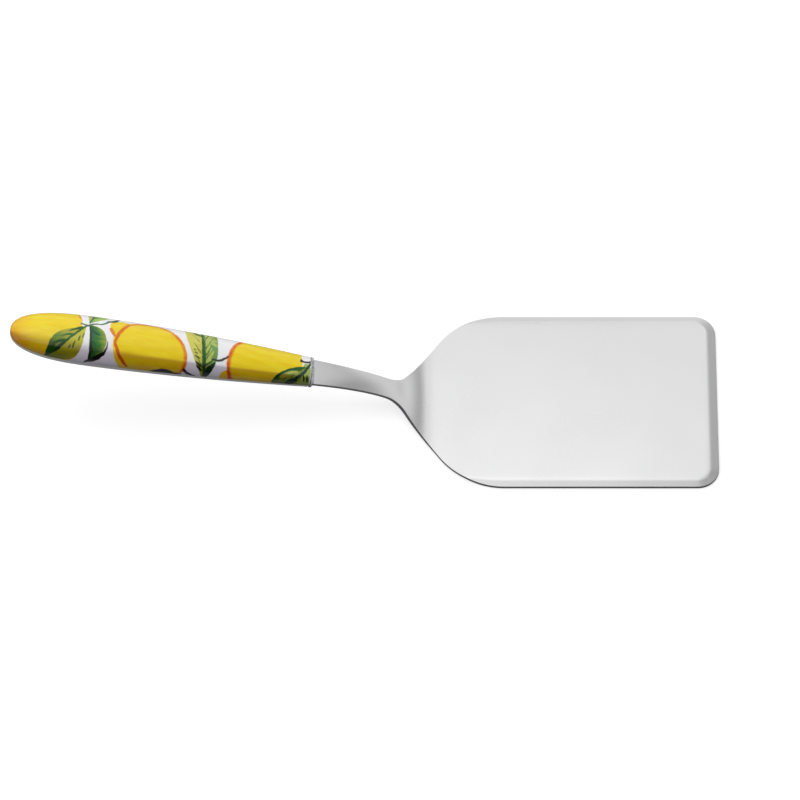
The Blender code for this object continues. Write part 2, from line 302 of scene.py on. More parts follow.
FOLD_HALF = HALF_BLADE - SIDE_FLANGE
PANEL_TOP = SHEET + RIM_DROP
SHOULDER_END = BLADE_STRAIGHT + SHOULDER_RADIUS * math.sin(SHOULDER_ANGLE)
SHOULDER_END_HALF = HALF_BLADE - SHOULDER_RADIUS * (1 - math.cos(SHOULDER_ANGLE))
WAIST_START_HALF = HALF_WAIST + WAIST_RADIUS * (1 - math.cos(SHOULDER_ANGLE))
DIAGONAL_RUN = (SHOULDER_END_HALF - WAIST_START_HALF) / math.tan(SHOULDER_ANGLE)
WAIST = SHOULDER_END + DIAGONAL_RUN + WAIST_RADIUS * math.sin(SHOULDER_ANGLE)
NECK_END = WAIST + NECK_RUN
HEEL = WAIST - HEEL_TO_WAIST
BEND_END = HEEL + BEND_RADIUS * math.sin(NECK_SLOPE)
print("waist and neck end", round(WAIST / MM, 1), round(NECK_END / MM, 1), "mm behind the front")

# %% [markdown]
# Seen from the side, the neck is an arc and then a slope that eases towards the handle. A
# press leaves no sudden change of bend, which satin steel would show as a crease, so the
# slope at each place is averaged a little way to both sides. Its height is the slope summed
# up from the heel, where the neck leaves the panel.

# %% How the neck climbs
SLOPE_STEPS = 200
BEND_EASE = 0.0022
EASE_SAMPLES = 9


def drawn_slope(back):
    """Slope of the neck: the arc of the bend, then easing to the handle's tilt at its end."""
    if back <= HEEL:
        return 0.0
    if back <= BEND_END:
        return math.asin((back - HEEL) / BEND_RADIUS)
    share = min((back - BEND_END) / (NECK_END - BEND_END), 1.0)
    return MOUTH_TILT + (NECK_SLOPE - MOUTH_TILT) * (1 - share) ** NECK_EASE_POWER


def neck_slope(back):
    """Slope of the neck, averaged a little way to both sides."""
    reach = min(BEND_EASE, NECK_END - back)
    offsets = [reach * (2 * index / (EASE_SAMPLES - 1) - 1) for index in range(EASE_SAMPLES)]
    return sum(drawn_slope(back + offset) for offset in offsets) / EASE_SAMPLES


@functools.lru_cache(maxsize=None)
def rise(back):
    """Height over the panel and slope, this far behind the front edge."""
    start = HEEL - BEND_EASE
    if back <= start:
        return 0.0, 0.0
    step = (back - start) / SLOPE_STEPS
    height = 0.0
    for index in range(SLOPE_STEPS):
        height += step * math.tan(neck_slope(start + (index + 0.5) * step))
    return height, neck_slope(back)


def on_sheet(back, lift, across, offset=0.0):
    """Point of the sheet: lift is its height over the panel, offset its depth into the steel."""
    height, slope = rise(min(back, NECK_END))
    return Vector((
        FRONT_X - back - offset * math.sin(slope),
        across,
        PANEL_TOP + height + lift - offset * math.cos(slope),
    ))


print("the neck climbs", round(rise(NECK_END)[0] / MM, 1), "mm")


# %% How the flange drops and the neck is crowned
def fold_share(across_share):
    """Share of the drop reached at this share of the flange: a rounded fold, then straight."""
    if across_share < FOLD_ROUNDING_SHARE:
        reached = across_share ** 2 / (2 * FOLD_ROUNDING_SHARE)
    else:
        reached = across_share - FOLD_ROUNDING_SHARE / 2
    return reached / (1 - FOLD_ROUNDING_SHARE / 2)


def crown_fall(back, across, half):
    """How far the crowned neck lies below its middle line at this distance from it."""
    if not HEEL < back < NECK_END:
        return 0.0
    swell = math.sin(math.pi * (back - HEEL) / (NECK_END - HEEL)) ** 2
    return NECK_CROWN * swell * (across / half) ** 2


def core_half(back, rim_half):
    """Half width of the flat core, which ends at the fold or a small margin inside the cut edge."""
    share = min(max((back - WAIST) / NECK_RUN, 0.0), 1.0)
    margin = RIM_MARGIN + (HALF_NECK_END - HALF_TANG - RIM_MARGIN) * share
    return min(FOLD_HALF, rim_half - margin)


# %% Rows across the sheet
CORNER_STEPS = 16
STRAIGHT_STEPS = 24
SHOULDER_STEPS = 28
DIAGONAL_STEPS = 8
WAIST_STEPS = 20
NECK_STEPS = 40


def outline_half():
    """Cut edge behind the front corner, as (distance behind the front edge, half width)."""
    for step in range(1, STRAIGHT_STEPS + 1):
        run = BLADE_STRAIGHT - FRONT_CORNER_RADIUS
        yield FRONT_CORNER_RADIUS + run * step / STRAIGHT_STEPS, HALF_BLADE
    for step in range(1, SHOULDER_STEPS + 1):
        angle = SHOULDER_ANGLE * step / SHOULDER_STEPS
        half = HALF_BLADE - SHOULDER_RADIUS * (1 - math.cos(angle))
        yield BLADE_STRAIGHT + SHOULDER_RADIUS * math.sin(angle), half
    for step in range(1, DIAGONAL_STEPS + 1):
        share = step / DIAGONAL_STEPS
        half = SHOULDER_END_HALF + (WAIST_START_HALF - SHOULDER_END_HALF) * share
        yield SHOULDER_END + DIAGONAL_RUN * share, half
    for step in range(1, WAIST_STEPS + 1):
        angle = SHOULDER_ANGLE * (1 - step / WAIST_STEPS)
        yield WAIST - WAIST_RADIUS * math.sin(angle), HALF_WAIST + WAIST_RADIUS * (1 - math.cos(angle))
    for step in range(1, NECK_STEPS + 1):
        share = step / NECK_STEPS
        half = HALF_WAIST + (HALF_NECK_END - HALF_WAIST) * share ** NECK_TAPER_POWER
        yield WAIST + NECK_RUN * share, half


def steel_rows():
    """Rows from the front corner to the neck's end: (core back, core half, rim back, rim half)."""
    rows = []
    for step in range(CORNER_STEPS + 1):
        angle = math.pi / 2 * step / CORNER_STEPS
        rows.append((
            FRONT_FLANGE + FOLD_CORNER_RADIUS * (1 - math.cos(angle)),
            FOLD_HALF - FOLD_CORNER_RADIUS * (1 - math.sin(angle)),
            FRONT_CORNER_RADIUS * (1 - math.cos(angle)),
            HALF_BLADE - FRONT_CORNER_RADIUS * (1 - math.sin(angle)),
        ))
    rows += [(back, core_half(back, half), back, half) for back, half in outline_half()]
    return rows


print(len(steel_rows()), "rows across the sheet")

# %% Top face of one half of the sheet
CORE_COLUMNS = 16
FLANGE_COLUMNS = 14


def join_lines(bm, lines):
    """Quads between each pair of neighbouring lines of vertices."""
    for first, second in zip(lines, lines[1:]):
        for index in range(min(len(first), len(second)) - 1):
            bm.faces.new((first[index], first[index + 1], second[index + 1], second[index]))


def flange_line(bm, start, core, rim, drop, half):
    """Vertices from the end of the core out to the cut edge."""
    line = [start]
    for column in range(1, FLANGE_COLUMNS + 1):
        share = column / FLANGE_COLUMNS
        back = core[0] + (rim[0] - core[0]) * share
        across = core[1] + (rim[1] - core[1]) * share
        lift = -drop * fold_share(share) - crown_fall(back, across, half)
        line.append(bm.verts.new(on_sheet(back, lift, across)))
    return line


def half_sheet(bm):
    """Top face on the +Y side, open on the middle plane."""
    rows = steel_rows()
    cores = []
    for back, half, _, rim_half in rows:
        across = [half * column / CORE_COLUMNS for column in range(CORE_COLUMNS + 1)]
        cores.append([
            bm.verts.new(on_sheet(back, -crown_fall(back, y, rim_half), y)) for y in across
        ])
    flanges = []
    front_half = rows[0][3]
    for column in range(CORE_COLUMNS):
        share = column / CORE_COLUMNS
        core = (FRONT_FLANGE, rows[0][1] * share)
        rim = (0.0, front_half * share)
        flanges.append(flange_line(bm, cores[0][column], core, rim, RIM_DROP, front_half))
    for index, (back, half, rim_back, rim_half) in enumerate(rows):
        width_share = 1.0 if index <= CORNER_STEPS else (rim_half - FOLD_HALF) / SIDE_FLANGE
        drop = RIM_DROP * max(width_share, 0.0)
        core, rim = (back, half), (rim_back, rim_half)
        flanges.append(flange_line(bm, cores[index][-1], core, rim, drop, rim_half))
    join_lines(bm, cores)
    join_lines(bm, flanges)
    tang_run = TANG_LENGTH * math.cos(MOUTH_TILT)
    tang_rise = TANG_LENGTH * math.sin(MOUTH_TILT)
    across = [HALF_TANG * column / CORE_COLUMNS for column in range(CORE_COLUMNS + 1)]
    tang_end = [bm.verts.new(on_sheet(NECK_END + tang_run, tang_rise, y)) for y in across]
    join_lines(bm, [cores[-1], tang_end])


# %% [markdown]
# The half sheet is thickened square to its own slope, mirrored, and its cut edges are eased
# by a small bevel, as tumbling does to a stamped part. The upright faces that the shear left
# get their own material slot: they are duller than the polished faces, and their colour is
# darkened further as painted shade.

# %% Blade object
FACE_SLOT = 0
SHEARED_SLOT = 1
SHARP_OVER = math.radians(50)
MERGE_WITHIN = 0.00001
SAME_ROW_DIGITS = 7
CUT_EDGE_SEGMENTS = 3

bm = bmesh.new()
half_sheet(bm)
top = list(bm.faces)
upper = set(bm.verts)
bmesh.ops.extrude_face_region(bm, geom=top, use_keep_orig=True)
lower = [vertex for vertex in bm.verts if vertex not in upper]
for vertex in lower:
    _, slope = rise(round(min(FRONT_X - vertex.co.x, NECK_END), SAME_ROW_DIGITS))
    vertex.co -= Vector((SHEET * math.sin(slope), 0.0, SHEET * math.cos(slope)))
on_plane = [face for face in bm.faces if all(vertex.co.y == 0 for vertex in face.verts)]
bmesh.ops.delete(bm, geom=on_plane, context="FACES_ONLY")
for face in bm.faces:
    sheared = len(upper.intersection(face.verts)) == 2
    face.material_index = SHEARED_SLOT if sheared else FACE_SLOT
bmesh.ops.recalc_face_normals(bm, faces=bm.faces)
blade = place_mesh(bm, "stamped_blade")
blade.data.shade_smooth()
blade.data.set_sharp_from_angle(angle=SHARP_OVER)
mirror = blade.modifiers.new("both sides", "MIRROR")
mirror.use_axis = (False, True, False)
mirror.use_clip = True
mirror.merge_threshold = MERGE_WITHIN
easing = blade.modifiers.new("eased edges", "BEVEL")
easing.width = CUT_EDGE_ROUNDING
easing.segments = CUT_EDGE_SEGMENTS
easing.limit_method = "ANGLE"
easing.angle_limit = SHARP_OVER
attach(blade, "root")
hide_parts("blade")
print("blade mesh:", 2 * len(blade.data.polygons), "faces before its edges are eased")

# %% [markdown]
# ## Satin stainless steel
# The sheet is 18/0 stainless, polished along its length with a fine belt and then tumbled.
# That leaves a satin that blurs the room, with strokes a few hundredths of a millimetre
# apart, too fine to count. They are drawn at 0.35 mm, as coarse as a close view needs, and so
# faintly that the panel stays smooth. The sheared edge is duller, and there the strokes are
# relief, for the marks that the shear left; its colour is also darker than the alloy's, as
# painted shade. Metal keeps the default IOR, the faces' colour is the reflectance of the
# alloy, and roughness carries the satin. A slow cloud in colour and roughness stands for the
# uneven pressure of the belt.

# %% Steel materials
STROKE_GAP = 0.35 * MM
STROKE_LENGTH = 25 * MM
CLOUD_SIZE = 30 * MM
STROKE_SHARE = 0.08
CLOUD_SPAN = (0.32, 0.76)
SHEAR_RELIEF = 0.5


def satin_steel(name, colour, shade, roughness, spread, relief_depth=None):
    """Sheet whose colour drifts from one value to another and whose gloss varies a little."""
    material, tree = new_material(name)
    place = add(tree, "TexCoord").outputs["Object"]
    stretch = (1 / STROKE_LENGTH, 1 / STROKE_GAP, 1 / STROKE_LENGTH)
    stroke_place = add(tree, "Mapping", place, None, None, stretch)
    strokes = add(tree, "TexNoise", stroke_place, named={"Scale": 1.0, "Detail": 3.0})
    clouds = add(tree, "TexNoise", place, named={"Scale": 1 / CLOUD_SIZE, "Detail": 2.0})
    blend = calc(tree, "MULTIPLY_ADD", strokes, STROKE_SHARE, clouds)
    share = add(tree, "MapRange", blend, *CLOUD_SPAN)
    tint = add(tree, "Mix", share, linear(colour), linear(shade), data_type="RGBA")
    gloss = add(tree, "MapRange", share, 0.0, 1.0, roughness - spread, roughness + spread)
    finish = {"Base Color": tint, "Metallic": 1.0, "Roughness": gloss}
    if relief_depth:
        depth = {"Strength": SHEAR_RELIEF, "Distance": relief_depth, "Height": strokes}
        finish["Normal"] = add(tree, "Bump", named=depth)
    add(tree, "OutputMaterial", add(tree, "BsdfPrincipled", named=finish))
    return material


face_finish = satin_steel(
    "satin stainless steel", "E6E6E7", "E3E3E4", roughness=0.27, spread=0.008,
)
# The sheared edge's colours are darker than the alloy's: painted shade.
sheared_shaded_finish = satin_steel(
    "sheared stainless edge with painted shade", "8E8E92", "7A7A7E", roughness=0.45, spread=0.06,
    relief_depth=0.01 * MM,
)
blade.data.materials.append(face_finish)
blade.data.materials.append(sheared_shaded_finish)
print("steel slots:", [material.name for material in blade.data.materials])

# %% [markdown]
# ## The porcelain shell
# The handle is slip-cast: a hollow shell of oval sections, narrow at the mouth, widest near
# the butt and closed there in a full round. It is drawn as one profile, taken from the inner
# butt forward along the inside, round the soft lip of the mouth, and back along the outside.
# Each point of the profile becomes an oval ring on the gently bowed axis.
#
# The rings also carry two flat maps, because a print that follows the real handle has to be
# laid out in millimetres. One holds the distance from the butt and the distance round from
# the top line. The other holds the share of the way round.

# %% Sizes of the shell
HANDLE_LENGTH = 0.1286
HANDLE_WIDTH = 0.0225
HANDLE_THICKNESS = 0.0153
MOUTH_BESIDE_NECK = 0.00075
MOUTH_OVER_SHEET = 0.00385
WIDEST_TO_BUTT = 0.0335
WALL = 0.002
LIP_ROUNDING = 0.0007
BUTT_TILT = math.radians(14.6)
SWELL_POWER = 1.85
BUTT_POWER = 2.45
FIT_GAP = 0.0003

MOUTH_WIDTH = 2 * HALF_NECK_END + 2 * MOUTH_BESIDE_NECK
MOUTH_THICKNESS = SHEET + 2 * MOUTH_OVER_SHEET
WIDEST_FROM_MOUTH = HANDLE_LENGTH - WIDEST_TO_BUTT
MOUTH_CENTRE = on_sheet(NECK_END, 0.0, 0.0, SHEET / 2)
print("the handle is widest", round(WIDEST_FROM_MOUTH / MM, 1), "mm behind its mouth")


# %% Axis and profile
def axis_frame(distance):
    """Point on the handle's axis this far behind the mouth, and the direction up from it."""
    change = (BUTT_TILT - MOUTH_TILT) * distance / HANDLE_LENGTH
    chord = MOUTH_TILT + change / 2
    tilt = MOUTH_TILT + change
    centre = MOUTH_CENTRE + (distance + FIT_GAP) * Vector((-math.cos(chord), 0.0, math.sin(chord)))
    return centre, Vector((math.sin(tilt), 0.0, math.cos(tilt)))


def body_section(distance, inset):
    """Section between the mouth and the widest place: (distance, half width, half thickness)."""
    grown = 1 - (1 - distance / WIDEST_FROM_MOUTH) ** SWELL_POWER
    width = MOUTH_WIDTH + (HANDLE_WIDTH - MOUTH_WIDTH) * grown
    thickness = MOUTH_THICKNESS + (HANDLE_THICKNESS - MOUTH_THICKNESS) * grown
    return distance, width / 2 - inset, thickness / 2 - inset


BODY_STEPS = 60
BUTT_STEPS = 36
LIP_STEPS = 6


def skin(inset):
    """One skin of the shell from the lip to the butt."""
    sections = []
    for step in range(1, BODY_STEPS + 1):
        run = WIDEST_FROM_MOUTH - LIP_ROUNDING
        sections.append(body_section(LIP_ROUNDING + run * step / BODY_STEPS, inset))
    _, half_width, half_thickness = sections[-1]
    butt = WIDEST_TO_BUTT - inset
    for step in range(1, BUTT_STEPS):
        angle = math.pi / 2 * step / BUTT_STEPS
        ahead = butt * math.sin(angle) ** (2 / BUTT_POWER)
        size = math.cos(angle) ** (2 / BUTT_POWER)
        sections.append((WIDEST_FROM_MOUTH + ahead, half_width * size, half_thickness * size))
    sections.append((WIDEST_FROM_MOUTH + butt, 0.0, 0.0))
    return sections


def lip():
    """Rounded mouth from the inner skin to the outer one."""
    sections = []
    for step in range(2 * LIP_STEPS + 2):
        outer = step > LIP_STEPS
        turn = math.pi / 2 * (step - outer) / LIP_STEPS
        middle = LIP_ROUNDING if outer else WALL - LIP_ROUNDING
        distance = LIP_ROUNDING * (1 - math.sin(turn))
        inset = middle + LIP_ROUNDING * math.cos(turn)
        _, half_width, half_thickness = body_section(distance, inset)
        sections.append((distance, half_width, half_thickness))
    return sections


profile = skin(WALL)[::-1] + lip() + skin(0.0)
print(len(profile), "rings in the shell")

# %% Shell object
RING_POINTS = 96


def ring_points(section):
    """Points of one oval ring, from the bottom round the far side to the bottom again."""
    distance, half_width, half_thickness = section
    centre, up = axis_frame(distance)
    points = []
    for index in range(RING_POINTS + 1):
        turn = 2 * math.pi * (index / RING_POINTS - 0.5)
        across = Vector((0.0, -half_width * math.sin(turn), 0.0))
        points.append(centre + across + half_thickness * math.cos(turn) * up)
    return points


def girth(points):
    """Distance round the ring from its top line, below zero on the far side."""
    lengths = [0.0]
    for first, second in zip(points, points[1:]):
        lengths.append(lengths[-1] + (second - first).length)
    return [length - lengths[-1] / 2 for length in lengths]


bm = bmesh.new()
print_map = bm.loops.layers.uv.new("print")
turn_map = bm.loops.layers.uv.new("turn")
rings = []
for section in profile:
    points = ring_points(section)
    if section[1] == 0:
        vertices = [bm.verts.new(points[0])] * (RING_POINTS + 1)
    else:
        vertices = [bm.verts.new(point) for point in points[:-1]]
        vertices.append(vertices[0])
    along = HANDLE_LENGTH - section[0]
    rings.append((vertices, along, girth(points)))
for (first, first_along, first_girth), (second, second_along, second_girth) in zip(rings, rings[1:]):
    for index in range(RING_POINTS):
        after = index + 1
        corners = [
            (first[index], first_along, first_girth[index], index),
            (first[after], first_along, first_girth[after], after),
            (second[after], second_along, second_girth[after], after),
            (second[index], second_along, second_girth[index], index),
        ]
        if first[index] is first[after]:
            corners.pop(1)
        if second[index] is second[after]:
            corners.pop(2)
        face = bm.faces.new([corner[0] for corner in corners])
        for loop, (_, along, around, place) in zip(face.loops, corners):
            loop[print_map].uv = (along, around)
            loop[turn_map].uv = (along / HANDLE_LENGTH, place / RING_POINTS - 0.5)
bmesh.ops.recalc_face_normals(bm, faces=bm.faces)
shell = place_mesh(bm, "porcelain_handle")
shell.data.shade_smooth()
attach(shell, "root")
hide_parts("handle_shell")
print("shell mesh:", len(shell.data.polygons), "faces")

# %% [markdown]
# ## The fruit print
# Lemons with leaves are a common subject on kitchen pottery. A printed transfer carries them:
# it is laid on the white body and fired under the glaze, so the colours are flat pigments
# with soft brush edges. Each motif is painted by a few nodes over the motif below it, like
# layers of paint, and every motif is placed in millimetres on the flat map of the handle:
# first the distance from the butt, then the distance round from the top line towards the
# viewer's side. Every coordinate is one dot product, the cheapest form that Blender has,
# because the whole print is a single graph.
#
# A leaf is a lens about its midrib whose halves differ in width and tone. Its side veins are a
# repeating ramp that slants away from the rib, and each half shows them only between two
# depths, from the rib out to its edge. The brush decides how firmly they are pressed.

# %% Leaf
SOFT_EDGE = 0.35 * MM
RIB_HALF = 0.5 * MM
RIB_CORE = 0.2 * MM
VEIN_SLANT = 1.6
VEIN_TAPER = 0.5
VEIN_EDGE = (0.17, 0.06)
VEIN_FADE = 0.1
VEIN_PRESSURE = (0.0, 0.6, 0.3, 0.9)
VEIN_GREEN = "24601C"
TONE_SPREAD = 0.35


def coordinate(tree, paper, origin, heading, unit):
    """Distance from the origin towards a heading, in units. Origin and unit are in millimetres."""
    run = Vector(heading).normalized() / (unit * MM)
    row = (run.x, run.y, -run.dot(Vector(origin)) * MM)
    return add(tree, "VectorMath", paper, row, operation="DOT_PRODUCT")


def local_axes(tree, paper, start, end):
    """Coordinates along and beside the line between two points, in lengths of that line."""
    run = Vector(end) - Vector(start)
    along = coordinate(tree, paper, start, run, run.length)
    beside = coordinate(tree, paper, start, (-run.y, run.x), run.length)
    return along, beside, run.length * MM


def half_leaf(tree, brush, along, reach, swell, lines, length, width, tones, rimward, veined):
    """Tone and mask of one half of a leaf."""
    half = calc(tree, "MULTIPLY", swell, width * MM / length)
    depth = calc(tree, "DIVIDE", reach, half)
    depth = calc(tree, "MINIMUM", depth, 1.0)
    place = add(tree, "Mix", rimward, along, depth, data_type="FLOAT")
    place = calc(tree, "MULTIPLY_ADD", brush, TONE_SPREAD, place)
    place = calc(tree, "SUBTRACT", place, TONE_SPREAD / 2)
    tone = add(tree, "ValToRGB", place, stops=tones)
    first, last = veined
    before = soft_step(tree, depth, last + VEIN_FADE, last)
    after = soft_step(tree, depth, first - VEIN_FADE, first)
    veins = calc(tree, "MULTIPLY", lines, before)
    veins = calc(tree, "MULTIPLY", veins, after)
    rib = soft_step(tree, reach, RIB_HALF / length, RIB_CORE / length)
    marks = calc(tree, "MAXIMUM", veins, rib)
    pressed = add(tree, "MapRange", brush, *VEIN_PRESSURE)
    marks = calc(tree, "MULTIPLY", marks, pressed)
    tone = add(tree, "Mix", marks, tone, linear(VEIN_GREEN), data_type="RGBA")
    margin = calc(tree, "SUBTRACT", half, reach)
    return tone, soft_step(tree, margin, 0.0, SOFT_EDGE / length)


def leaf(tree, paper, brush, under, base, tip, skew, fullness, vein_count, first, second):
    """Paint a leaf over what is under it."""
    along, beside, length = local_axes(tree, paper, base, tip)
    inside = calc(tree, "MAXIMUM", along, 0.0)
    inside = calc(tree, "MINIMUM", inside, 1.0)
    skewed = calc(tree, "POWER", inside, skew)
    turned = calc(tree, "MULTIPLY", skewed, math.pi)
    lens = calc(tree, "SINE", turned)
    lens = calc(tree, "MAXIMUM", lens, 0.0)
    swell = calc(tree, "POWER", lens, fullness)
    reach = calc(tree, "ABSOLUTE", beside)
    slant = calc(tree, "MULTIPLY_ADD", reach, -VEIN_SLANT, along)
    wave = calc(tree, "MULTIPLY", slant, vein_count)
    wave = calc(tree, "PINGPONG", wave, 0.5)
    wave = calc(tree, "MULTIPLY_ADD", reach, VEIN_TAPER, wave)
    lines = soft_step(tree, wave, *VEIN_EDGE)
    shared = (tree, brush, inside, reach, swell, lines, length)
    first_tone, first_mask = half_leaf(*shared, *first)
    second_tone, second_mask = half_leaf(*shared, *second)
    side = calc(tree, "GREATER_THAN", beside, 0.0)
    tone = add(tree, "Mix", side, second_tone, first_tone, data_type="RGBA")
    mask = add(tree, "Mix", side, second_mask, first_mask, data_type="FLOAT")
    return add(tree, "Mix", mask, under, tone, data_type="RGBA")


# %% [markdown]
# A brush stroke is a band about a curved line, which serves for stems, for dark outlines and
# for small blots.

# %% Stroke
def stroke(tree, paper, under, start, end, bend, widths, colour):
    """Paint a curved stroke: its first width, what its belly adds, and its last width."""
    along, beside, length = local_axes(tree, paper, start, end)
    first, belly, last = (width / 2 * MM / length for width in widths)
    turned = calc(tree, "MULTIPLY", along, math.pi)
    bow = calc(tree, "SINE", turned)
    line = calc(tree, "MULTIPLY_ADD", bow, -bend * MM / length, beside)
    reach = calc(tree, "ABSOLUTE", line)
    half = calc(tree, "MULTIPLY_ADD", along, last - first, first)
    half = calc(tree, "MULTIPLY_ADD", bow, belly, half)
    margin = calc(tree, "SUBTRACT", half, reach)
    soft = SOFT_EDGE / 2 / length
    mask = soft_step(tree, margin, -soft, soft)
    between = calc(tree, "COMPARE", along, 0.5, 0.5)
    mask = calc(tree, "MULTIPLY", mask, between)
    return add(tree, "Mix", mask, under, linear(colour), data_type="RGBA")


# %% [markdown]
# A lemon is an oval, as a rule fuller than an ellipse, with a nipple melted onto it by a
# smooth minimum. Its rind glows orange in a band along the oval, on the side that the painter
# chose.

# %% Lemon and rind
NIPPLE_MELT = 0.12
LEMON_TONES = ("F0CE12", "F3D61A", "F6DE26")
RIND_OUTER = (1.03, 0.98)
RIND_FADE = 0.25


def oval(tree, paper, centre, halves, turn, fullness):
    """Radius of an oval, 1 on its outline."""
    powers = []
    for heading, half in zip((turn, turn + math.pi / 2), halves):
        reach = coordinate(tree, paper, centre, (math.cos(heading), math.sin(heading)), half)
        reach = calc(tree, "ABSOLUTE", reach)
        powers.append(calc(tree, "POWER", reach, fullness))
    total = calc(tree, "ADD", *powers)
    return calc(tree, "POWER", total, 1 / fullness)


def lemon(tree, paper, brush, under, body, nipple):
    """Paint a lemon over what is under it."""
    radius = oval(tree, paper, *body)
    if nipple:
        away = oval(tree, paper, *nipple)
        radius = calc(tree, "SMOOTH_MIN", radius, away, NIPPLE_MELT)
    edge = SOFT_EDGE / (body[1][1] * MM)
    mask = soft_step(tree, radius, 1 + edge / 2, 1 - edge / 2)
    tone = add(tree, "ValToRGB", brush, stops=LEMON_TONES)
    return add(tree, "Mix", mask, under, tone, data_type="RGBA")


def rind(tree, paper, brush, under, outline, side, start, inner, tones):
    """Paint an orange band inside an oval where it lies further to one side than start."""
    radius = oval(tree, paper, *outline)
    inner = soft_step(tree, radius, *inner)
    outer = soft_step(tree, radius, *RIND_OUTER)
    facing = coordinate(tree, paper, outline[0], side, min(outline[1]))
    facing = soft_step(tree, facing, start, start + RIND_FADE)
    mask = calc(tree, "MULTIPLY", inner, outer)
    mask = calc(tree, "MULTIPLY", mask, facing)
    tone = add(tree, "ValToRGB", brush, stops=tones)
    return add(tree, "Mix", mask, under, tone, data_type="RGBA")


# %% [markdown]
# The paper's coordinates are shaken a little by slow noise, so that no outline is as smooth
# as its formula. A second noise, drawn out along the handle, is the brush: it moves every
# tone a little up or down its own ramp.

# %% Paper and brush
WOBBLE_SIZE = 2.2 * MM
WOBBLE = 0.22 * MM
BRUSH_LENGTH = 9 * MM
BRUSH_WIDTH = 2.2 * MM
BRUSH_SPAN = (0.3, 0.7)
WHITE_GROUND = linear("F6F5F7")

material, tree = new_material("glazed porcelain with printed fruit")
flat_map = add(tree, "UVMap", uv_map="print").outputs[0]
around = add(tree, "UVMap", uv_map="turn").outputs[0]
around = add(tree, "SeparateXYZ", around).outputs["Y"]
wobble = add(tree, "TexNoise", flat_map, normalize=False, named={"Scale": 1 / WOBBLE_SIZE})
wobble = wobble.outputs["Color"]
shake = (WOBBLE, WOBBLE, 0.0)
paper = add(tree, "VectorMath", wobble, shake, flat_map, operation="MULTIPLY_ADD")
paper = add(tree, "VectorMath", paper, (0.0, 0.0, 1.0), operation="ADD")
brush_scale = (1 / BRUSH_LENGTH, 1 / BRUSH_WIDTH, 1.0)
brush_place = add(tree, "Mapping", flat_map, None, None, brush_scale)
brush = add(tree, "TexNoise", brush_place, named={"Scale": 1.0, "Detail": 3.0})
brush = add(tree, "MapRange", brush, *BRUSH_SPAN)
colour = add(tree, "Mix", 0.0, WHITE_GROUND, WHITE_GROUND, data_type="RGBA")

# %% [markdown]
# Four lemons lie along the handle, one of them almost hidden. An oval is given by its centre,
# its half sizes, its turn and its fullness, where 2 is an ellipse. A rind adds the side that
# glows, where the glow starts on the way there, the radii between which it fades inwards, and
# its tones.

# %% Paint the lemons
BUTT_LEMON = ((8.4, -1.0), (20.6, 17.0), 0.0, 4.0)
MIDDLE_LEMON = ((58.2, 5.1), (16.5, 15.1), 0.35, 1.8)
MIDDLE_NIPPLE = ((47.0, -4.0), (6.2, 4.4), 0.15, 2.0)
MOUTH_LEMON = ((108.0, 4.6), (16.5, 16.8), 0.0, 1.9)
MOUTH_LEMON_END = ((111.8, 1.0), (12.4, 12.5), 0.0, 5.0)
HIDDEN_LEMON = ((92.2, 11.2), (3.0, 3.2), 0.0, 2.0)
BUTT_GLOW = ((16.0, 1.0), (17.5, 20.0), 0.0, 2.0)

lemons = [
    (BUTT_LEMON, None),
    (MIDDLE_LEMON, MIDDLE_NIPPLE),
    (HIDDEN_LEMON, None),
    (MOUTH_LEMON, MOUTH_LEMON_END),
]
for spot in lemons:
    colour = lemon(tree, paper, brush, colour, *spot)

rinds = [
    (BUTT_GLOW, (-0.9, 0.4), 0.1, (0.4, 1.0), ("EEAE10", "EEB414", "F0BC1C")),
    (MIDDLE_LEMON, (0.57, -0.82), 0.0, (0.88, 0.95), ("DC6A0C", "E88620", "F0A43A")),
    (MOUTH_LEMON, (-1.0, 0.0), 0.4, (0.87, 0.95), ("D8560A", "E26A14", "EC8A30")),
]
for spot in rinds:
    colour = rind(tree, paper, brush, colour, *spot)
print(len(lemons), "lemons")

# %% [markdown]
# A leaf is given by its base and tip, the power that moves its belly towards the tip, its
# fullness and its number of veins. Then come its two halves: width, tones, how far these run
# from rib to edge rather than from base to tip, and the depths between which veins show. A
# pale patch lies under the leaf at the mouth and is painted first.

# %% Paint the leaves
PALE_PATCH = ((126.3, -0.9), (126.0, 13.0), 0.0, (2.0, 1.6, 7.5), "A9BC62")

colour = stroke(tree, paper, colour, *PALE_PATCH)
leaves = [
    ((31.8, -3.8), (40.8, -21.6), 1.2, 0.9, 4.0,
     (5.6, ("6AA048", "A8CA66", "C8DA8A"), 0.6, (0.0, 0.5)),
     (4.0, ("8AAA50", "B8C068", "D0CC80"), 0.6, (0.0, 0.2))),
    ((31.6, -3.4), (14.4, 13.0), 1.33, 1.0, 6.0,
     (5.3, ("C4B434", "B4AC2C", "668A26", "2A5E16"), 0.1, (0.0, 0.0)),
     (7.9, ("CACA4A", "BCB828", "88921A"), 0.1, (0.0, 0.0))),
    ((32.3, -3.4), (33.0, 13.0), 0.8, 0.5, 5.0,
     (0.5, ("26603A", "26603A", "26603A"), 0.5, (0.0, 0.0)),
     (7.1, ("26603A", "3A7C30", "A8B43C"), 0.85, (0.0, 0.0))),
    ((82.6, 15.0), (80.5, -24.0), 1.2, 0.85, 8.0,
     (6.2, ("A8C060", "B8C668", "5E9036"), 0.6, (0.0, 0.55)),
     (7.9, ("98A840", "D8D060", "DCD668"), 0.1, (0.35, 0.6))),
    ((127.5, 0.0), (111.6, 9.6), 1.8, 0.8, 5.0,
     (2.5, ("8CA850", "6E9038", "2E6A28"), 0.3, (0.0, 0.0)),
     (7.5, ("B0B858", "9AA040", "4E7A2C"), 0.2, (0.0, 0.3))),
]
for spot in leaves:
    colour = leaf(tree, paper, brush, colour, *spot)
print(len(leaves), "leaves")

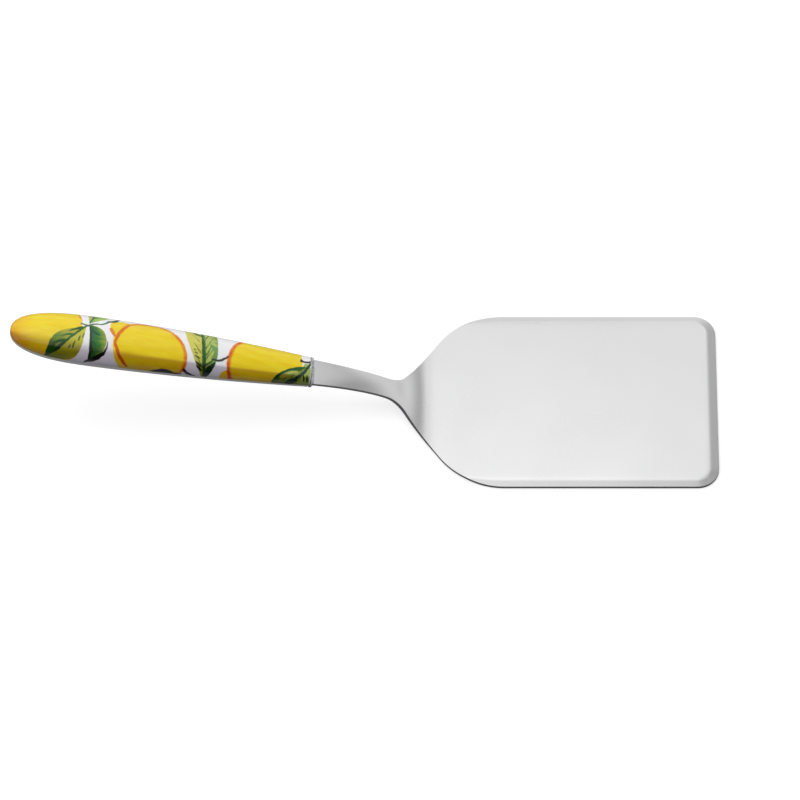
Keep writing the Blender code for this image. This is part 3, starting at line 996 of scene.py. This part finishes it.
# %% [markdown]
# The last layer is brushwork: twigs, dark outlines and the strongest veins. A stroke is given
# by its start and end, its bow, its first width, what its belly adds and its last width, and
# its colour.

# %% Paint the strokes
strokes = [
    # Twig and tendril
    ((28.4, -3.8), (31.9, -3.0), 0.2, (0.9, 0.0, 0.9), "6E7A66"),
    ((31.7, -3.0), (36.9, -4.6), -0.5, (1.0, 0.0, 0.7), "4F7A4A"),
    ((36.6, -4.5), (40.3, -6.8), 0.4, (0.7, 0.0, 1.0), "3F6E4A"),
    ((40.0, -6.8), (45.8, -11.4), 1.0, (1.0, 0.7, 0.4), "2F5A3C"),
    # Butt lemon and its leaf
    ((28.0, -9.8), (29.1, -5.2), 0.2, (0.7, 0.2, 0.2), "E08A30"),
    ((31.6, -3.2), (22.3, 5.4), 0.1, (0.6, 0.1, 1.0), "24601C"),
    ((22.6, 5.1), (14.4, 13.0), -0.3, (1.0, 0.7, 0.5), "1E4E12"),
    ((29.4, -1.4), (23.2, 1.0), 0.3, (1.5, 0.2, 0.3), "2A6420"),
    ((25.6, 2.2), (20.6, 3.3), 0.3, (1.2, 0.2, 0.3), "2E681E"),
    ((22.6, 5.2), (17.4, 6.6), 0.3, (1.5, 0.3, 0.5), "2A5E18"),
    ((17.8, 6.8), (15.6, 12.0), 0.0, (1.2, 1.6, 0.8), "2C6818"),
    ((29.8, 1.0), (29.2, 3.3), 0.0, (0.2, 0.3, 0.3), "5A6A1E"),
    ((28.4, 2.3), (27.6, 4.8), 0.0, (0.2, 0.3, 0.5), "3E5A1A"),
    ((26.3, 4.7), (25.6, 8.0), 0.2, (0.2, 0.3, 0.5), "3E5A1A"),
    ((24.5, 6.8), (23.8, 8.3), 0.0, (0.3, 0.3, 0.4), "3E5A1A"),
    # Dark leaf
    ((32.2, -3.0), (33.0, 12.8), -0.3, (0.6, 0.2, 1.0), "1A3A1E"),
    ((32.8, -1.1), (36.9, 1.3), 0.2, (1.3, 0.2, 0.3), "1E5640"),
    ((32.8, 3.6), (35.0, 5.6), 0.0, (0.9, 0.1, 0.3), "24581E"),
    ((33.3, 6.8), (34.0, 8.8), 0.0, (0.4, 0.5, 0.3), "1E3A12"),
    ((39.9, 3.2), (38.5, 9.2), -0.5, (0.2, 0.0, 1.1), "12200C"),
    ((38.9, 8.5), (33.4, 12.7), -0.2, (1.3, 0.9, 1.2), "12160C"),
    ((33.8, 12.5), (31.2, 13.8), 0.2, (1.1, 0.2, 0.6), "12160C"),
    # Middle lemon
    ((41.2, -3.4), (43.3, 0.9), 0.3, (1.5, 0.4, 0.8), "E08A2C"),
    ((49.4, -6.6), (42.9, 3.4), 0.9, (0.7, 0.6, 1.2), "DE7414"),
    ((42.9, 2.8), (49.6, 13.2), 1.0, (1.2, 0.3, 1.0), "DE7010"),
    ((58.4, 14.5), (72.8, 14.7), 0.0, (0.4, 5.6, 0.4), "20261A"),
    ((69.0, 12.9), (73.4, 13.6), -0.2, (0.4, 0.6, 0.4), "3A5030"),
    ((73.2, 10.5), (78.9, 13.0), 0.5, (1.2, 0.2, 0.7), "231C1E"),
    # Pale leaf
    ((77.0, -9.0), (81.5, -6.7), 0.3, (0.8, 1.0, 0.8), "3A7A34"),
    ((80.8, -9.0), (82.7, 12.6), 0.6, (0.4, 0.7, 1.2), "2E5E2A"),
    ((86.9, -1.6), (84.1, 11.8), -0.2, (0.8, 1.5, 0.6), "74994A"),
    ((84.0, -2.6), (87.2, 2.0), -0.3, (0.3, 1.7, 0.3), "74A058"),
    ((82.0, 3.4), (84.4, -1.8), 0.2, (0.8, 0.0, 0.2), "447A34"),
    ((82.4, 7.2), (85.6, 4.2), 0.2, (0.9, 0.2, 0.4), "2E6420"),
    ((82.9, 12.4), (86.5, 5.6), -0.5, (1.8, 1.2, 0.7), "1C4810"),
    ((76.9, 0.7), (77.7, 1.3), 0.0, (0.3, 0.3, 0.3), "5A6A2A"),
    ((77.3, 2.2), (78.7, 2.8), 0.0, (0.3, 0.3, 0.4), "4A5E22"),
    ((77.5, 3.5), (79.6, 4.9), 0.0, (0.3, 0.3, 0.5), "3A5418"),
    ((78.0, 6.2), (80.6, 8.3), 0.0, (0.4, 0.4, 0.6), "2A4810"),
    ((78.6, 7.9), (81.1, 9.9), 0.0, (0.4, 0.5, 0.8), "24420E"),
    ((84.7, 4.3), (92.0, 1.9), 1.1, (0.9, 0.0, 0.9), "3E4A42"),
    # Leaf at the mouth
    ((125.8, 0.9), (112.6, 8.0), 1.0, (0.5, 1.0, 0.9), "2C6030"),
    ((122.4, 3.4), (116.6, 5.5), 0.2, (0.5, 0.8, 0.5), "BCC468"),
    ((119.0, 5.3), (114.8, 6.9), 0.1, (0.4, 1.0, 0.6), "B4AA38"),
    ((122.6, 6.6), (117.4, 9.8), 0.0, (1.4, 1.2, 1.2), "1C4414"),
    ((128.6, -2.9), (120.2, 7.7), -1.1, (0.6, 0.3, 1.4), "2C5040"),
    ((123.6, -2.1), (128.4, -2.6), 0.6, (1.3, -0.2, 1.2), "3A4434"),
    ((123.4, -2.3), (124.4, -1.9), 0.0, (1.3, 0.7, 1.1), "38321F"),
    ((125.0, 4.2), (125.7, 7.2), 0.0, (0.3, 0.5, 0.4), "4A3A1C"),
    ((126.6, 4.0), (127.1, 7.4), 0.0, (0.3, 0.5, 0.4), "4A3A1C"),
]
for spot in strokes:
    colour = stroke(tree, paper, colour, *spot)
print(len(strokes), "strokes")

# %% [markdown]
# Painted shade lies along the viewer's side, where the rounded handle turns away from the
# light: it deepens each colour and cools it, over a wide soft band at the butt and a narrow
# one from halfway on. Past the side lines and just short of the lip the body is plain.
#
# Over all lies a clear fired glaze, with the IOR of glass. It is glossy, a little less over
# the print, whose pigments melt less smoothly, and it set in slow ripples that break up the
# reflections of the soft boxes.

# %% Painted shade, edge of the print and glaze
# These values place, deepen and cool a band of painted shade on the viewer's side.
PAINTED_SHADE_MIDDLE = (0.085, 0.112)
PAINTED_SHADE_HALF = (0.058, 0.013)
PAINTED_SHADE_SHARP_FROM = 60 * MM
PAINTED_SHADE_DEPTH = 1.4
PAINTED_SHADE_TONE = linear("CCC6D2")
PRINT_EDGE = 0.243
PRINT_EDGE_HALF = 0.004
PRINT_END = 128.1 * MM
PRINT_END_HALF = 0.2 * MM
PLAIN_GLAZE = linear("E6E6E6")
GLAZE_ROUGHNESS = (0.09, 0.13)
GLAZE_IOR = 1.5
RIPPLE_SIZE = 7 * MM
RIPPLE_HEIGHT = 0.03 * MM
RIPPLE_STRENGTH = 0.6

distance = add(tree, "SeparateXYZ", paper).outputs["X"]
middle = add(tree, "MapRange", distance, 0.0, PAINTED_SHADE_SHARP_FROM, *PAINTED_SHADE_MIDDLE)
spread = add(tree, "MapRange", distance, 0.0, PAINTED_SHADE_SHARP_FROM, *PAINTED_SHADE_HALF)
start = calc(tree, "SUBTRACT", middle, spread)
end = calc(tree, "ADD", middle, spread)
# Painted shade: each colour is deepened and cooled across this band on the viewer's side.
painted_shade = soft_step(tree, around, start, end)
shade_deepening = add(tree, "MapRange", painted_shade, 0.0, 1.0, 1.0, PAINTED_SHADE_DEPTH)
colour = add(tree, "Gamma", colour, shade_deepening)
painted_shade_tone = add(tree, "Mix", painted_shade, linear("FFFFFF"), PAINTED_SHADE_TONE, data_type="RGBA")
colour = add(tree, "Mix", 1.0, colour, painted_shade_tone, data_type="RGBA", blend_type="MULTIPLY")
turned_away = calc(tree, "ABSOLUTE", around)
edge = (PRINT_EDGE + PRINT_EDGE_HALF, PRINT_EDGE - PRINT_EDGE_HALF)
printed = soft_step(tree, turned_away, *edge)
edge = (PRINT_END + PRINT_END_HALF, PRINT_END - PRINT_END_HALF)
short_of_lip = soft_step(tree, distance, *edge)
printed = calc(tree, "MULTIPLY", printed, short_of_lip)
colour = add(tree, "Mix", printed, PLAIN_GLAZE, colour, data_type="RGBA")

gloss = add(tree, "MapRange", printed, 0.0, 1.0, *GLAZE_ROUGHNESS)
place = add(tree, "TexCoord").outputs["Object"]
ripple = add(tree, "TexNoise", place, named={"Scale": 1 / RIPPLE_SIZE, "Detail": 2.0})
relief = {"Strength": RIPPLE_STRENGTH, "Distance": RIPPLE_HEIGHT, "Height": ripple}
relief = add(tree, "Bump", named=relief)
finish = {"Base Color": colour, "Roughness": gloss, "IOR": GLAZE_IOR, "Normal": relief}
add(tree, "OutputMaterial", add(tree, "BsdfPrincipled", named=finish))
shell.data.materials.append(material)
print(len(tree.nodes), "nodes in the glazed print")

# %% [markdown]
# ## Resin bead and cement
# Where the steel leaves the porcelain, the joint is closed with white resin, wiped by hand:
# a low, uneven bead. A torus would be too even, so it is a chain of rings between the neck
# and the mouth, squarer round the neck than outside, whose front is pushed in and out by
# smooth noise.

# %% Bead object
BEAD_LENGTH = 0.0012
BEAD_BESIDE_NECK = 0.0003
BEAD_LAP = 0.0005
BEAD_TAPER = 0.0003
BEAD_POINTS = 120
BEAD_POWER = 4.0
INNER_LIP_POWER = 10.0
NECK_HOLE_POWER = 16.0
NECK_CLEARANCE = 0.02 * MM
BUMP_SIZE = 1.1 * MM
BUMP_HEIGHT = 0.3 * MM


def rounded(share, power):
    """Coordinate of a superellipse for the cosine or sine of its angle."""
    return math.copysign(abs(share) ** (2 / power), share)


def bead_ring(bm, distance, half_width, half_height, power, bumpy=0.0):
    """Ring of vertices round the neck, this far behind the mouth, with a share of the bumps."""
    ring = []
    for index in range(BEAD_POINTS):
        angle = 2 * math.pi * index / BEAD_POINTS
        across = half_width * rounded(math.cos(angle), power)
        height = half_height * rounded(math.sin(angle), power)
        bump = BUMP_HEIGHT * noise.noise(Vector((across, height, distance)) / BUMP_SIZE) * bumpy
        centre, up = axis_frame(distance + bump)
        ring.append(bm.verts.new(centre + Vector((0.0, across, 0.0)) + height * up))
    return ring


bm = bmesh.new()
out_half = HALF_NECK_END + FIT_GAP + BEAD_BESIDE_NECK
out_rise = MOUTH_THICKNESS / 2 - WALL + BEAD_LAP
in_half = HALF_NECK_END + NECK_CLEARANCE
in_rise = SHEET / 2 + NECK_CLEARANCE
front = -FIT_GAP - BEAD_LENGTH
near = front + BEAD_TAPER
in_lip = (in_half + BEAD_TAPER / 2, in_rise + BEAD_TAPER)
out_lip = (out_half - 2 * BEAD_TAPER, out_rise - 2 * BEAD_TAPER)
shoulder = (out_half - BEAD_TAPER / 2, out_rise - BEAD_TAPER / 2)
bead_rings = [
    bead_ring(bm, -FIT_GAP, in_half, in_rise, NECK_HOLE_POWER),
    bead_ring(bm, near, in_half, in_rise, NECK_HOLE_POWER),
    bead_ring(bm, front, *in_lip, INNER_LIP_POWER, bumpy=0.5),
    bead_ring(bm, front, *out_lip, BEAD_POWER, bumpy=1.0),
    bead_ring(bm, near, *shoulder, BEAD_POWER, bumpy=0.8),
    bead_ring(bm, -FIT_GAP, out_half, out_rise, BEAD_POWER),
]
for first, second in zip(bead_rings, bead_rings[1:] + bead_rings[:1]):
    for index in range(BEAD_POINTS):
        after = (index + 1) % BEAD_POINTS
        bm.faces.new((first[index], first[after], second[after], second[index]))
bmesh.ops.recalc_face_normals(bm, faces=bm.faces)
bead = place_mesh(bm, "resin_bead")
bead.data.shade_smooth()
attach(bead, "root")
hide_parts("sealing_bead")
print("bead mesh:", len(bead.data.polygons), "faces")

# %% [markdown]
# The resin dries half glossy, white with grey in its pores, which are about a millimetre
# apart. Behind it the shell is filled with setting cement, grey, sandy and quite dull. The
# cement's own solid has the right shape, so it stays and only gets this finish.

# %% Resin and cement materials
GRAIN_SPAN = (0.35, 0.65)
GRAIN_RELIEF = 0.7
GLOSS_HALF = 0.08


def cast_material(name, colour, shade, grain, roughness, depth):
    """Poured or wiped material: two close tones mixed by its grain, which also roughens it."""
    material, tree = new_material(name)
    place = add(tree, "TexCoord").outputs["Object"]
    grains = add(tree, "TexNoise", place, named={"Scale": 1 / grain, "Detail": 4.0})
    share = add(tree, "MapRange", grains, *GRAIN_SPAN)
    tint = add(tree, "Mix", share, linear(colour), linear(shade), data_type="RGBA")
    levels = (roughness - GLOSS_HALF, roughness + GLOSS_HALF)
    gloss = add(tree, "MapRange", share, 0.0, 1.0, *levels)
    relief = {"Strength": GRAIN_RELIEF, "Distance": depth, "Height": grains}
    relief = add(tree, "Bump", named=relief)
    finish = {"Base Color": tint, "Roughness": gloss, "Normal": relief}
    add(tree, "OutputMaterial", add(tree, "BsdfPrincipled", named=finish))
    return material


bead.data.materials.append(cast_material(
    "wiped white resin", "CDCED1", "92939A", grain=1.2 * MM, roughness=0.45, depth=0.05 * MM,
))
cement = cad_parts["cement_fill"]
cement.data.materials.clear()
cement.data.materials.append(cast_material(
    "poured setting cement", "A8A49A", "8B877E", grain=0.6 * MM, roughness=0.9, depth=0.1 * MM,
))
print("cement finish:", cement.data.materials[0].name)
